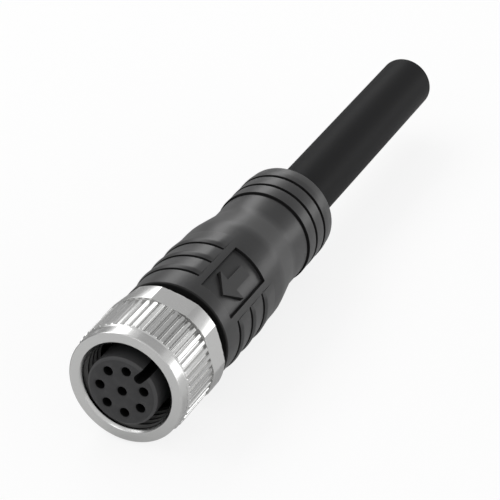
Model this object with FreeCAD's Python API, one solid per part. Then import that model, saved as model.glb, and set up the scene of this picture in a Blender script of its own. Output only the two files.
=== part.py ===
import FreeCAD, Part
import math
import os

from FreeCAD import Vector

# Straight eight-way M12 cable socket, millimetres.
# The axis lies along Y. The origin is on the axis in the plane of the nut's front face, +Y runs
# towards the cable, +Z is up, and the connector lies on its side as it would on a bench.
# Angles round the axis are from straight up, clockwise as seen from the front.

# Coupling thread
THREAD_MAJOR = 12.0
THREAD_PITCH = 1.0
THREAD_DEPTH_SHARE = 0.5413
THREAD_ENTRY = 0.19
THREAD_RELIEF = 0.05
THREAD_RUNOUT = 1.00

# Coupling nut
NUT_LENGTH = 10.4
NUT_WALL = 0.95
NUT_FACE_EDGE = 0.10
NUT_COLLAR_LENGTH = 1.50
RIB_COUNT = 50
RIB_RISE = 0.23
RIB_VALLEY_DEPTH = 0.12
RIB_VALLEY_SHARE = 0.62
RIB_FLOOR_SHARE = 0.25
RIB_TURN = 6.6
HEX_LENGTH = 3.00
HEX_FLAT_RISE = 0.03
HEX_CORNER_RISE = 0.40
HEX_REAR_CHAMFER = 0.25
HEX_TURN = 15.6
NUT_LIP_LENGTH = 1.80

# Fits between the nut and the connector that it turns on
NUT_RUNNING_CLEARANCE = 0.06
NUT_SEAT_GAP = 0.10
NUT_BACK_PLAY = 1.35
FLANGE_CLEARANCE = 0.16
MATING_SLEEVE_SPACE = 1.16

# Contact carrier
FACE_PROUD = 0.82
FACE_CHAMFER = 0.30
FLANGE_THICKNESS = 1.30
NECK_STEP = 0.70
ANCHOR_COVER = 1.10
ANCHOR_LENGTH = 1.20
ANCHOR_NOTCHES = 6
ANCHOR_NOTCH_WIDTH = 1.20
ANCHOR_NOTCH_DEPTH = 0.45
CARRIER_TAIL_LENGTH = 1.40
CARRIER_TAIL_WALL = 0.58
KEY_ANGLE = 44.5
KEY_WIDTH = 1.10
KEY_INNER_RADIUS = 2.51
KEY_END_WALL = 1.10

# Contacts
RING_CONTACTS = 7
CONTACT_CIRCLE_RADIUS = 2.75
CONTACT_KEY_GAP = 64.8
FACE_HOLE_RADIUS = 0.575
FACE_HOLE_CHAMFER = 0.16
FACE_HOLE_DEPTH = 1.80
CHAMBER_RADIUS = 0.72
CHAMBER_TIP_GAP = 0.20
SOCKET_SPRING_GAP = 0.10
SOCKET_BORE_RADIUS = 0.41
SOCKET_BORE_DEPTH = 6.50
SOCKET_SLIT_WIDTH = 0.16
SOCKET_SLIT_LENGTH = 4.20
SOCKET_SEAT_LENGTH = 3.00
CUP_LENGTH = 3.20
CUP_DEPTH = 2.60
CUP_OPENING_LENGTH = 1.50

# Sealing ring
RING_SECTION_RADIUS = 0.48
RING_GROOVE_DEPTH = 0.20
RING_GROOVE_MARGIN = 0.12

# Wires and cable
CONDUCTOR_RADIUS = 0.33
INSULATION_WALL = 0.34
WIRE_GAP = 0.03
STRIP_LENGTH = 0.50
BEND_LEAD = 0.60
BEND_LENGTH = 4.00
JACKET_STRIP = 0.90
JACKET_WALL = 1.35
CABLE_STUB = 40.5

# Inner mould over the soldered joints
INNER_MOULD_WALL = 0.95
JACKET_GRIP = 3.60
INNER_MOULD_EDGE = 0.60

# Overmoulded grip
GRIP_WALL = 1.67
GRIP_FRONT_ROUND = 0.20
BODY_LENGTH = 15.65
SHOULDER_LENGTH = 5.00
SHOULDER_ROUND = 9.0
WAIST_WALL = 2.44
WAIST_LENGTH = 4.30
TAIL_RINGS = 3
TAIL_RING_PITCH = 2.40
TAIL_RING_RISE = 0.215
TAIL_RING_FALL = 0.06
TAIL_GROOVE_WIDTH = 0.40
TAIL_GROOVE_DEPTH = 0.18
TAIL_SOFT_LENGTH = 1.50
TAIL_SOFT_ROUND = 3.0
TAIL_REAR_RISE = 0.05
TAIL_REAR_ROUND = 0.15

# Finger ridges on both sides of the grip
SIDE_RIDGES = 3
SIDE_RIDGE_FIRST = 3.49
SIDE_RIDGE_PITCH = 3.27
SIDE_RIDGE_KEY_LAND = 29.3
RIDGE_FRONT_RISE = 0.08
RIDGE_RISE = 0.23
RIDGE_CREST = 0.50
RIDGE_CREST_ROUND = 1.5
RIDGE_GROOVE_WIDTH = 0.28
RIDGE_GROOVE_DEPTH = 0.35

# Arrow panel over the key
PANEL_FIRST = 2.13
PANEL_LENGTH = 9.27
PANEL_HALF_ANGLE = 22.0
PANEL_DEPTH = 0.46
ARROW_FRONT_MARGIN = 1.32
ARROW_REAR_MARGIN = 1.90
ARROW_HEAD_LENGTH = 2.43
ARROW_HALF_WIDTH = 2.06
ARROW_SHAFT_HALF_WIDTH = 0.76

# Radii worked out from the sizes above
THREAD_MINOR_RADIUS = THREAD_MAJOR / 2 - THREAD_DEPTH_SHARE * THREAD_PITCH
RELIEF_RADIUS = THREAD_MAJOR / 2 + THREAD_RELIEF
NUT_COLLAR_RADIUS = RELIEF_RADIUS + NUT_WALL
RIB_RADIUS = NUT_COLLAR_RADIUS + RIB_RISE
RIB_ROOT_RADIUS = NUT_COLLAR_RADIUS - RIB_VALLEY_DEPTH
HEX_CORNER_RADIUS = NUT_COLLAR_RADIUS + HEX_CORNER_RISE
FLANGE_RADIUS = THREAD_MINOR_RADIUS - FLANGE_CLEARANCE
NECK_RADIUS = FLANGE_RADIUS - NECK_STEP
LIP_RADIUS = NECK_RADIUS + NUT_RUNNING_CLEARANCE
BARREL_RADIUS = THREAD_MINOR_RADIUS - MATING_SLEEVE_SPACE
RING_SEAT_RADIUS = BARREL_RADIUS - RING_GROOVE_DEPTH
CARRIER_TAIL_RADIUS = CONTACT_CIRCLE_RADIUS + CHAMBER_RADIUS + CARRIER_TAIL_WALL
SOCKET_RADIUS = CHAMBER_RADIUS - SOCKET_SPRING_GAP
WIRE_RADIUS = CONDUCTOR_RADIUS + INSULATION_WALL
LAY_RADIUS = (WIRE_RADIUS + WIRE_GAP / 2) / math.sin(math.pi / RING_CONTACTS)
JACKET_BORE_RADIUS = LAY_RADIUS + WIRE_RADIUS + WIRE_GAP
CABLE_RADIUS = JACKET_BORE_RADIUS + JACKET_WALL
INNER_MOULD_RADIUS = CARRIER_TAIL_RADIUS + INNER_MOULD_WALL
INNER_MOULD_REAR_RADIUS = CABLE_RADIUS + INNER_MOULD_WALL
BODY_RADIUS = FLANGE_RADIUS + GRIP_WALL
WAIST_RADIUS = CABLE_RADIUS + WAIST_WALL
TAIL_RADIUS = WAIST_RADIUS + TAIL_RING_RISE
TAIL_GROOVE_RADIUS = WAIST_RADIUS - TAIL_GROOVE_DEPTH

# Places along the axis, from the nut's front face to the cable's cut end
AXIS = Vector(0, 1, 0)
ORIGIN = Vector(0, 0, 0)
FACE_Y = -FACE_PROUD
KNURL_END = NUT_LENGTH - HEX_LENGTH
LIP_FRONT = NUT_LENGTH - NUT_LIP_LENGTH
FLANGE_REAR = LIP_FRONT - NUT_SEAT_GAP
FLANGE_FRONT = FLANGE_REAR - FLANGE_THICKNESS
THREAD_END = FLANGE_FRONT - THREAD_RUNOUT
RING_SEAT_FRONT = FLANGE_FRONT - 2 * RING_SECTION_RADIUS - RING_GROOVE_MARGIN
KEY_END = RING_SEAT_FRONT - KEY_END_WALL
GRIP_FRONT = NUT_LENGTH + NUT_BACK_PLAY
ANCHOR_START = GRIP_FRONT + ANCHOR_COVER
ANCHOR_END = ANCHOR_START + ANCHOR_LENGTH
CARRIER_END = ANCHOR_END + CARRIER_TAIL_LENGTH
CHAMBER_START = FACE_Y + FACE_HOLE_DEPTH
SOCKET_FRONT = CHAMBER_START + CHAMBER_TIP_GAP
CUP_END = CARRIER_END + CUP_LENGTH
SOLDER_START = CUP_END - CUP_DEPTH
WIRE_START = CUP_END + STRIP_LENGTH
BEND_START = WIRE_START + BEND_LEAD
BEND_END = BEND_START + BEND_LENGTH
JACKET_START = BEND_END + JACKET_STRIP
INNER_MOULD_END = JACKET_START + JACKET_GRIP
SHOULDER_START = GRIP_FRONT + BODY_LENGTH
WAIST_START = SHOULDER_START + SHOULDER_LENGTH
TAIL_START = WAIST_START + WAIST_LENGTH
TAIL_END = TAIL_START + TAIL_RINGS * TAIL_RING_PITCH
CABLE_END = TAIL_END + CABLE_STUB
PANEL_START = GRIP_FRONT + PANEL_FIRST
PANEL_END = PANEL_START + PANEL_LENGTH


def at(radius, y, rounding=0):
    """Corner of a turned outline: its radius, its place along the axis and its rounding."""
    return Vector(radius, y, 0), rounding


def corner_arc(before, corner, after, rounding):
    """Start, middle and end of the tangent arc that rounds a corner."""
    if not rounding:
        return corner, corner, corner
    back = (before - corner).normalize()
    onward = (after - corner).normalize()
    half_turn = (math.pi - back.getAngle(onward)) / 2
    reach = rounding * math.tan(half_turn)
    inwards = (back + onward).normalize()
    middle = corner + inwards * (rounding / math.cos(half_turn) - rounding)
    return corner + back * reach, middle, corner + onward * reach


def turned(corners, angle=360):
    """Solid made by turning a closed outline of corners about the axis."""
    points = [corner for corner, _ in corners]
    after = points[1:] + points[:1]
    arcs = [
        corner_arc(points[k - 1], points[k], after[k], corners[k][1])
        for k in range(len(corners))]
    edges = []
    for k, (start, middle, end) in enumerate(arcs):
        if start != end:
            edges.append(Part.Arc(start, middle, end).toShape())
        next_start = arcs[(k + 1) % len(arcs)][0]
        edges.append(Part.LineSegment(end, next_start).toShape())
    return Part.Face(Part.Wire(edges)).revolve(ORIGIN, AXIS, angle)


def turned_segment(corners, first, last):
    """The part of a turned solid between two angles round the axis."""
    quarter = 90
    return around(turned(corners, last - first), first - quarter)


def bar(radius, start, end, centre=ORIGIN):
    """Round bar along the axis from start to end, about a centre in the XZ plane."""
    return Part.makeCylinder(radius, end - start, Vector(centre.x, start, centre.z), AXIS)


def around(shape, angle):
    """The shape turned about the axis by an angle."""
    copy = shape.copy()
    copy.rotate(ORIGIN, AXIS, angle)
    return copy


def place_at(radius, angle):
    """Centre at a radius and an angle round the axis."""
    turn = math.radians(angle)
    return Vector(radius * math.sin(turn), 0, radius * math.cos(turn))


def ring_places(radius, step):
    """Seven places counted round from beside the key to its other side, then the middle."""
    half = (RING_CONTACTS - 1) / 2
    angles = [KEY_ANGLE + 180 + step * (k - half) for k in range(RING_CONTACTS)]
    return [place_at(radius, angle) for angle in angles] + [ORIGIN]


def contact_places():
    """Contacts on their circle, with a wider gap where the key is."""
    return ring_places(CONTACT_CIRCLE_RADIUS, (360 - CONTACT_KEY_GAP) / (RING_CONTACTS - 1))


def lay_places():
    """The same wires evenly round the middle one in the jacket."""
    return ring_places(LAY_RADIUS, 360 / RING_CONTACTS)


def coupling_nut():
    """Turned nut: plain front collar, straight knurl, hexagon, thread and a lip at the back."""
    knurled = turned([
        at(0, 0),
        at(NUT_COLLAR_RADIUS - NUT_FACE_EDGE, 0),
        at(NUT_COLLAR_RADIUS, NUT_FACE_EDGE),
        at(NUT_COLLAR_RADIUS, NUT_COLLAR_LENGTH),
        at(RIB_RADIUS, NUT_COLLAR_LENGTH + RIB_RISE),
        at(RIB_RADIUS, KNURL_END - RIB_RISE),
        at(NUT_COLLAR_RADIUS, KNURL_END),
        at(0, KNURL_END),
    ])
    knurled = knurled.cut(Part.makeCompound(knurl_valleys()))
    spanner_end = turned([
        at(0, KNURL_END),
        at(HEX_CORNER_RADIUS, KNURL_END),
        at(HEX_CORNER_RADIUS, NUT_LENGTH - HEX_REAR_CHAMFER),
        at(HEX_CORNER_RADIUS - 2 * HEX_REAR_CHAMFER, NUT_LENGTH),
        at(0, NUT_LENGTH),
    ]).common(hexagon_bar())
    inside = turned([
        at(0, 0),
        at(THREAD_MINOR_RADIUS + THREAD_ENTRY, 0),
        at(THREAD_MINOR_RADIUS, THREAD_ENTRY),
        at(THREAD_MINOR_RADIUS, THREAD_END),
        at(RELIEF_RADIUS, THREAD_END),
        at(RELIEF_RADIUS, LIP_FRONT),
        at(LIP_RADIUS, LIP_FRONT),
        at(LIP_RADIUS, NUT_LENGTH),
        at(0, NUT_LENGTH),
    ])
    return knurled.fuse(spanner_end).cut(inside).removeSplitter()


def knurl_valleys():
    """Valleys between the ribs, a little deeper than the collar in front of them."""
    pitch = 2 * math.pi / RIB_COUNT
    half_top = RIB_RADIUS * pitch * RIB_VALLEY_SHARE / 2
    half_floor = half_top * RIB_FLOOR_SHARE
    depth = RIB_RADIUS - RIB_ROOT_RADIUS
    half_outside = 2 * half_top - half_floor
    start = NUT_COLLAR_LENGTH + RIB_VALLEY_DEPTH
    end = KNURL_END - RIB_VALLEY_DEPTH
    corners = [
        Vector(-half_floor, start, RIB_ROOT_RADIUS),
        Vector(half_floor, start, RIB_ROOT_RADIUS),
        Vector(half_outside, start, RIB_RADIUS + depth),
        Vector(-half_outside, start, RIB_RADIUS + depth),
    ]
    valley = Part.Face(Part.makePolygon(corners + corners[:1])).extrude(AXIS * (end - start))
    return [around(valley, RIB_TURN + 360 / RIB_COUNT * k) for k in range(RIB_COUNT)]


def hexagon_bar():
    """Hexagonal bar that trims the spanner flats."""
    corner = (NUT_COLLAR_RADIUS + HEX_FLAT_RISE) / math.cos(math.pi / 6)
    corners = [place_at(corner, HEX_TURN + 30 + 60 * k) for k in range(6)]
    outline = [Vector(c.x, KNURL_END, c.z) for c in corners]
    face = Part.Face(Part.makePolygon(outline + outline[:1]))
    return face.extrude(AXIS * HEX_LENGTH)


def carrier_form():
    """Outer form of the insulator: barrel, ring seat, flange, neck, notched anchor and tail."""
    form = turned([
        at(0, FACE_Y),
        at(BARREL_RADIUS - FACE_CHAMFER, FACE_Y),
        at(BARREL_RADIUS, FACE_Y + FACE_CHAMFER),
        at(BARREL_RADIUS, RING_SEAT_FRONT),
        at(RING_SEAT_RADIUS, RING_SEAT_FRONT),
        at(RING_SEAT_RADIUS, FLANGE_FRONT),
        at(FLANGE_RADIUS, FLANGE_FRONT),
        at(FLANGE_RADIUS, FLANGE_REAR),
        at(NECK_RADIUS, FLANGE_REAR),
        at(NECK_RADIUS, ANCHOR_START),
        at(FLANGE_RADIUS, ANCHOR_START),
        at(FLANGE_RADIUS, ANCHOR_END),
        at(CARRIER_TAIL_RADIUS, ANCHOR_END),
        at(CARRIER_TAIL_RADIUS, CARRIER_END),
        at(0, CARRIER_END),
    ])
    notch = Part.makeBox(
        ANCHOR_NOTCH_WIDTH, ANCHOR_LENGTH, 2 * ANCHOR_NOTCH_DEPTH,
        Vector(-ANCHOR_NOTCH_WIDTH / 2, ANCHOR_START, FLANGE_RADIUS - ANCHOR_NOTCH_DEPTH))
    notches = [around(notch, KEY_ANGLE + 360 / ANCHOR_NOTCHES * k) for k in range(ANCHOR_NOTCHES)]
    return form.cut(Part.makeCompound(notches))


def contact_carrier():
    """Insulator with its eight contact chambers and the coding keyway."""
    chambers = [chamber(place) for place in contact_places()]
    return carrier_form().cut(Part.makeCompound(chambers)).cut(key_slot())


def chamber(place):
    """Contact chamber: chamfered lead-in at the face, narrow mouth, then the contact's seat."""
    lead = Part.makeCone(
        FACE_HOLE_RADIUS + FACE_HOLE_CHAMFER, FACE_HOLE_RADIUS, FACE_HOLE_CHAMFER,
        Vector(place.x, FACE_Y, place.z), AXIS)
    mouth = bar(FACE_HOLE_RADIUS, FACE_Y, CHAMBER_START, place)
    seat = bar(CHAMBER_RADIUS, CHAMBER_START, CARRIER_END, place)
    return lead.fuse([mouth, seat]).removeSplitter()


def key_slot():
    """Coding keyway, round at its inner end and open through the barrel's side."""
    half = KEY_WIDTH / 2
    inner = KEY_INNER_RADIUS + half
    outer = BARREL_RADIUS + half
    left_in = Vector(-half, FACE_Y, inner)
    right_in = Vector(half, FACE_Y, inner)
    left_out = Vector(-half, FACE_Y, outer)
    right_out = Vector(half, FACE_Y, outer)
    outline = Part.Wire([
        Part.Arc(left_in, Vector(0, FACE_Y, KEY_INNER_RADIUS), right_in).toShape(),
        Part.LineSegment(right_in, right_out).toShape(),
        Part.LineSegment(right_out, left_out).toShape(),
        Part.LineSegment(left_out, left_in).toShape(),
    ])
    return around(Part.Face(outline).extrude(AXIS * (KEY_END - FACE_Y)), KEY_ANGLE)


def socket_contact(place):
    """Turned socket: slit spring tube in front, seat in the chamber, solder cup behind."""
    seat_start = CARRIER_END - SOCKET_SEAT_LENGTH
    body = turned([
        at(0, SOCKET_FRONT),
        at(SOCKET_RADIUS, SOCKET_FRONT),
        at(SOCKET_RADIUS, seat_start),
        at(CHAMBER_RADIUS, seat_start),
        at(CHAMBER_RADIUS, CARRIER_END),
        at(SOCKET_RADIUS, CARRIER_END),
        at(SOCKET_RADIUS, CUP_END),
        at(0, CUP_END),
    ])
    bore = bar(SOCKET_BORE_RADIUS, SOCKET_FRONT, SOCKET_FRONT + SOCKET_BORE_DEPTH)
    cup = bar(CONDUCTOR_RADIUS, SOLDER_START, CUP_END)
    slit = Part.makeBox(
        SOCKET_SLIT_WIDTH, SOCKET_SLIT_LENGTH, 2 * SOCKET_RADIUS,
        Vector(-SOCKET_SLIT_WIDTH / 2, SOCKET_FRONT, -SOCKET_RADIUS))
    opening = Part.makeBox(
        2 * SOCKET_RADIUS, CUP_OPENING_LENGTH, SOCKET_RADIUS,
        Vector(-SOCKET_RADIUS, CUP_END - CUP_OPENING_LENGTH, CONDUCTOR_RADIUS / 2))
    contact = body.cut(Part.makeCompound([bore, cup])).cut(slit).cut(opening)
    contact.translate(place)
    return contact


def sealing_ring():
    """Round-section ring in its shallow groove, against the front of the flange."""
    centre_radius = RING_SEAT_RADIUS + RING_SECTION_RADIUS
    centre = Vector(0, FLANGE_FRONT - RING_SECTION_RADIUS, 0)
    return Part.makeTorus(centre_radius, RING_SECTION_RADIUS, centre, AXIS)


def wire_rod(radius, start, end, contact_place, lay_place):
    """Round rod on a wire's route: straight from the contact, an S-bend, straight in the cable."""
    shift = lay_place - contact_place
    if shift.Length < WIRE_GAP:
        return bar(radius, start, end)
    swing = 2 * math.atan(shift.Length / BEND_LENGTH)
    bend_radius = BEND_LENGTH / (2 * math.sin(swing))
    across = shift.normalize()
    bend_in = Vector(contact_place.x, BEND_START, contact_place.z)
    bend_out = Vector(lay_place.x, BEND_END, lay_place.z)
    return bar(radius, start, BEND_START, contact_place).fuse([
        bend(radius, bend_in, across * bend_radius, swing),
        bend(radius, bend_out, across * -bend_radius, -swing),
        bar(radius, BEND_END, end, lay_place),
    ])


def bend(radius, place, to_centre, swing):
    """Piece of ring that starts square to the axis at a place and swings round its centre."""
    disc = Part.Face(Part.Wire(Part.makeCircle(radius, place, AXIS)))
    return disc.revolve(place + to_centre, AXIS.cross(to_centre), math.degrees(swing))


def inner_mould_form():
    """Outer form of the pre-mould, from the carrier's anchor to past the jacket's end."""
    return turned([
        at(0, ANCHOR_END),
        at(INNER_MOULD_RADIUS, ANCHOR_END),
        at(INNER_MOULD_RADIUS, JACKET_START),
        at(INNER_MOULD_REAR_RADIUS, INNER_MOULD_END - INNER_MOULD_EDGE),
        at(INNER_MOULD_REAR_RADIUS - INNER_MOULD_EDGE, INNER_MOULD_END),
        at(0, INNER_MOULD_END),
    ])


def inner_mould(contacts, wires):
    """Pre-mould that fills the space round the solder cups, the wires and the jacket's end."""
    carrier_tail = bar(CARRIER_TAIL_RADIUS, ANCHOR_END, CARRIER_END)
    jacket_space = bar(CABLE_RADIUS, JACKET_START, INNER_MOULD_END)
    return inner_mould_form().cut([carrier_tail, jacket_space] + contacts + wires)


def cable_jacket():
    """Extruded jacket, stripped back inside the inner mould and cut square at the far end."""
    outside = bar(CABLE_RADIUS, JACKET_START, CABLE_END)
    return outside.cut(bar(JACKET_BORE_RADIUS, JACKET_START, CABLE_END))


def grip_form():
    """Outer form of the grip: body, shoulder, waist and the ringed tail."""
    corners = [
        at(0, GRIP_FRONT),
        at(BODY_RADIUS, GRIP_FRONT, GRIP_FRONT_ROUND),
        at(BODY_RADIUS, SHOULDER_START, SHOULDER_ROUND),
        at(WAIST_RADIUS, WAIST_START, SHOULDER_ROUND),
        at(WAIST_RADIUS, TAIL_START - TAIL_GROOVE_WIDTH),
    ]
    for k in range(TAIL_RINGS):
        start = TAIL_START + TAIL_RING_PITCH * k
        end = start + TAIL_RING_PITCH - TAIL_GROOVE_WIDTH
        corners += [
            at(TAIL_GROOVE_RADIUS, start - TAIL_GROOVE_WIDTH),
            at(TAIL_GROOVE_RADIUS, start),
            at(TAIL_RADIUS, start),
            at(TAIL_RADIUS - TAIL_RING_FALL, end),
        ]
    corners[-1] = at(TAIL_RADIUS, TAIL_END - TAIL_SOFT_LENGTH, TAIL_SOFT_ROUND)
    corners += [
        at(WAIST_RADIUS + TAIL_REAR_RISE, TAIL_END, TAIL_REAR_ROUND),
        at(0, TAIL_END),
    ]
    return turned(corners)


def side_ridge(start, first, last):
    """Finger ridge rooted in the body: low steep front, round crest, long slope to the back."""
    end = start + SIDE_RIDGE_PITCH - RIDGE_GROOVE_WIDTH
    root = BODY_RADIUS - RIDGE_GROOVE_DEPTH
    return turned_segment([
        at(root, start),
        at(BODY_RADIUS + RIDGE_FRONT_RISE, start),
        at(BODY_RADIUS + RIDGE_RISE, start + RIDGE_CREST, RIDGE_CREST_ROUND),
        at(BODY_RADIUS, end),
        at(root, end),
    ], first, last)


def side_groove(start, first, last):
    """Narrow groove in front of a finger ridge."""
    outside = BODY_RADIUS + RIDGE_RISE
    return turned_segment([
        at(BODY_RADIUS - RIDGE_GROOVE_DEPTH, start - RIDGE_GROOVE_WIDTH),
        at(BODY_RADIUS - RIDGE_GROOVE_DEPTH, start),
        at(outside, start),
        at(outside, start - RIDGE_GROOVE_WIDTH),
    ], first, last)


def panel_pocket():
    """Shallow pocket over the key, its floor following the round of the grip."""
    floor = BODY_RADIUS - PANEL_DEPTH
    outside = BODY_RADIUS + PANEL_DEPTH
    return turned_segment([
        at(floor, PANEL_START),
        at(floor, PANEL_END),
        at(outside, PANEL_END),
        at(outside, PANEL_START),
    ], KEY_ANGLE - PANEL_HALF_ANGLE, KEY_ANGLE + PANEL_HALF_ANGLE)


def raised_arrow():
    """Prism of the arrow that marks the key; the pocket leaves it standing on its floor."""
    tip = PANEL_START + ARROW_FRONT_MARGIN
    head_end = tip + ARROW_HEAD_LENGTH
    tail = PANEL_END - ARROW_REAR_MARGIN
    outline = [
        Vector(0, tip, 0),
        Vector(ARROW_HALF_WIDTH, head_end, 0),
        Vector(ARROW_SHAFT_HALF_WIDTH, head_end, 0),
        Vector(ARROW_SHAFT_HALF_WIDTH, tail, 0),
        Vector(-ARROW_SHAFT_HALF_WIDTH, tail, 0),
        Vector(-ARROW_SHAFT_HALF_WIDTH, head_end, 0),
        Vector(-ARROW_HALF_WIDTH, head_end, 0),
    ]
    face = Part.Face(Part.makePolygon(outline + outline[:1]))
    return around(face.extrude(Vector(0, 0, 2 * BODY_RADIUS)), KEY_ANGLE)


def overmould():
    """Soft grip moulded over the carrier's anchor, the inner mould and the cable."""
    ridges = []
    grooves = []
    for k in range(SIDE_RIDGES):
        start = GRIP_FRONT + SIDE_RIDGE_FIRST + SIDE_RIDGE_PITCH * k
        for side in (0, 180):
            first = KEY_ANGLE + side + SIDE_RIDGE_KEY_LAND
            last = KEY_ANGLE + side + 180 - SIDE_RIDGE_KEY_LAND
            ridges.append(side_ridge(start, first, last))
            grooves.append(side_groove(start, first, last))
    form = grip_form().fuse(ridges).cut(Part.makeCompound(grooves))
    form = form.cut(panel_pocket().cut(raised_arrow()))
    cable_space = bar(CABLE_RADIUS, INNER_MOULD_END - INNER_MOULD_EDGE, TAIL_END)
    return form.cut([carrier_form(), inner_mould_form(), cable_space]).removeSplitter()


def build():
    """Every piece of the connector by name."""
    routes = list(zip(contact_places(), lay_places()))
    contacts = [socket_contact(place) for place in contact_places()]
    conductors = [wire_rod(CONDUCTOR_RADIUS, SOLDER_START, CABLE_END, *route) for route in routes]
    wires = [wire_rod(WIRE_RADIUS, WIRE_START, CABLE_END, *route) for route in routes]
    pieces = {
        "coupling_nut": coupling_nut(),
        "contact_carrier": contact_carrier(),
        "sealing_ring": sealing_ring(),
        "inner_mould": inner_mould(contacts, wires + conductors),
        "overmould": overmould(),
        "cable_jacket": cable_jacket(),
    }
    for k, (contact, conductor, wire) in enumerate(zip(contacts, conductors, wires), 1):
        pieces[f"socket_contact_{k}"] = contact
        pieces[f"conductor_{k}"] = conductor
        pieces[f"wire_insulation_{k}"] = wire.cut(conductor)
    return pieces


os.makedirs("parts", exist_ok=True)
for name, shape in build().items():
    shape.exportStep(f"parts/{name}.step")
    print(f"{name}: {len(shape.Solids)} solid, {shape.Volume:.2f} mm3, valid {shape.isValid()}")
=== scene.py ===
import math
from functools import partial

import bmesh
import bpy
from mathutils import Matrix, Vector


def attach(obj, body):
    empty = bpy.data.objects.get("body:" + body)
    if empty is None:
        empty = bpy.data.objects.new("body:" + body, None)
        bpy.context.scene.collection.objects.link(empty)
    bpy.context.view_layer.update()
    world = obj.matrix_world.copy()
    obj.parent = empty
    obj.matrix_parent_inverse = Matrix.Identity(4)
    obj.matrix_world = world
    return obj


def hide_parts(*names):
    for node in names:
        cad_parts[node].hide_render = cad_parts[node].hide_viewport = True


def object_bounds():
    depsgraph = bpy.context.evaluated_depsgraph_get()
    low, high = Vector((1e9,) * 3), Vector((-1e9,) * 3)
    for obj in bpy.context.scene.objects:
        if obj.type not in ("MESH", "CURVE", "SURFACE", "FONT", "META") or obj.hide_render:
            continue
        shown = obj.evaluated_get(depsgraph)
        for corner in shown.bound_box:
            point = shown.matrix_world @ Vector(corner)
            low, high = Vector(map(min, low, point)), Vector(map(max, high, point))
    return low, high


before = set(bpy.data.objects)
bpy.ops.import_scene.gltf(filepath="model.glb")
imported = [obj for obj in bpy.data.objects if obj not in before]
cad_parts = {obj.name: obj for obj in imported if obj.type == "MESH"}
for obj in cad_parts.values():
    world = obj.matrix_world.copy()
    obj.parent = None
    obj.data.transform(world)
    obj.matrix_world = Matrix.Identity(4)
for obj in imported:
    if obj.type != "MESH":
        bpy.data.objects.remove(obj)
cad_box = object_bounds()
MM = 0.001

# The camera stands in front of the connector, to the right and above, on a long lens. It is placed
# so that the centre of the nut's front face falls on its pixel in the picture.
PICTURE_PIXELS = 500
SENSOR_WIDTH = 36.0
FOCAL_PIXELS = 2321.2
FRONT_CENTRE_X = 124.9
FRONT_CENTRE_Y = 388.1
FRONT_CENTRE_DEPTH = 255.4 * MM
AZIMUTH = math.radians(24.73)
ELEVATION = math.radians(30.0)

rightwards = Vector((math.cos(AZIMUTH), math.sin(AZIMUTH), 0))
ahead = Vector((
    -math.sin(AZIMUTH) * math.cos(ELEVATION),
    math.cos(AZIMUTH) * math.cos(ELEVATION),
    -math.sin(ELEVATION)))
upwards = rightwards.cross(ahead)
metres_per_pixel = FRONT_CENTRE_DEPTH / FOCAL_PIXELS
camera_place = -(
    rightwards * (FRONT_CENTRE_X - PICTURE_PIXELS / 2) * metres_per_pixel
    + upwards * (PICTURE_PIXELS / 2 - FRONT_CENTRE_Y) * metres_per_pixel
    + ahead * FRONT_CENTRE_DEPTH)
camera_data = bpy.data.cameras.new("camera")
camera_data.sensor_width = SENSOR_WIDTH
camera_data.lens = SENSOR_WIDTH * FOCAL_PIXELS / PICTURE_PIXELS
camera_data.clip_start = 10 * MM
camera = bpy.data.objects.new("camera", camera_data)
camera.matrix_world = Matrix.Translation(camera_place) @ Matrix((
    (rightwards.x, upwards.x, -ahead.x, 0),
    (rightwards.y, upwards.y, -ahead.y, 0),
    (rightwards.z, upwards.z, -ahead.z, 0),
    (0, 0, 0, 1)))
bpy.context.scene.collection.objects.link(camera)
bpy.context.scene.camera = camera
bpy.context.scene.view_settings.view_transform = "Standard"

# Soft studio light: an even pale surround, two long strip lamps beside the connector and a weak one
# in front. Grey cards that show in reflections alone stand above and at the left, and one lies low.
WHITE = (1, 1, 1, 1)
SURROUND_STRENGTH = 0.55
LAMP_DISTANCE = 0.5
STRIP_MIDDLE_Y = 0.45
STRIP_LENGTH = 1.5
STRIPS = (("left_strip", -41, 0.23, 2.4), ("right_strip", 80, 0.23, 2.3))
FRONT_LAMP_PLACE = (-0.10, -0.55, 0.38)
FRONT_LAMP_SIZE = 0.22
FRONT_LAMP_POWER = 0.35
CARDS = (
    ("top_card", (-0.085, 0.548), (0.368, 0.384), (-0.30, 1.20), 0.64),
    ("left_card", (-0.123, 0.002), (-0.110, 0.056), (-0.30, 1.20), 0.45),
    ("low_card", (-0.006, -0.0070), (-0.120, -0.0070), (0.0, 0.50), 0.36))


def node(tree, kind, inputs=None, **settings):
    """A new node with its settings and its inputs, each a value or another node's output."""
    made = tree.nodes.new(kind)
    for name, value in settings.items():
        setattr(made, name, value)
    for key, value in (inputs or {}).items():
        if isinstance(value, bpy.types.NodeSocket):
            tree.links.new(value, made.inputs[key])
        else:
            made.inputs[key].default_value = value
    return made


def calculated(tree, operation, *values):
    """Output of a math node with these values."""
    return node(tree, "ShaderNodeMath", dict(enumerate(values)), operation=operation).outputs[0]


def seen_directly(tree):
    """1 for what the camera sees straight, in a reflection or through glass, and 0 for light."""
    path = node(tree, "ShaderNodeLightPath").outputs
    straight_or_glossy = calculated(tree, "MAXIMUM", path["Is Camera Ray"], path["Is Glossy Ray"])
    return calculated(tree, "MAXIMUM", straight_or_glossy, path["Is Transmission Ray"])


world = bpy.data.worlds.new("surround")
world.use_nodes = True
world.node_tree.nodes.clear()
brightness = node(world.node_tree, "ShaderNodeMapRange", {
    "Value": seen_directly(world.node_tree), "To Min": SURROUND_STRENGTH, "To Max": 1.0})
surround = node(world.node_tree, "ShaderNodeBackground", {
    "Color": WHITE, "Strength": brightness.outputs[0]})
node(world.node_tree, "ShaderNodeOutputWorld", {"Surface": surround.outputs[0]})
bpy.context.scene.world = world

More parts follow.
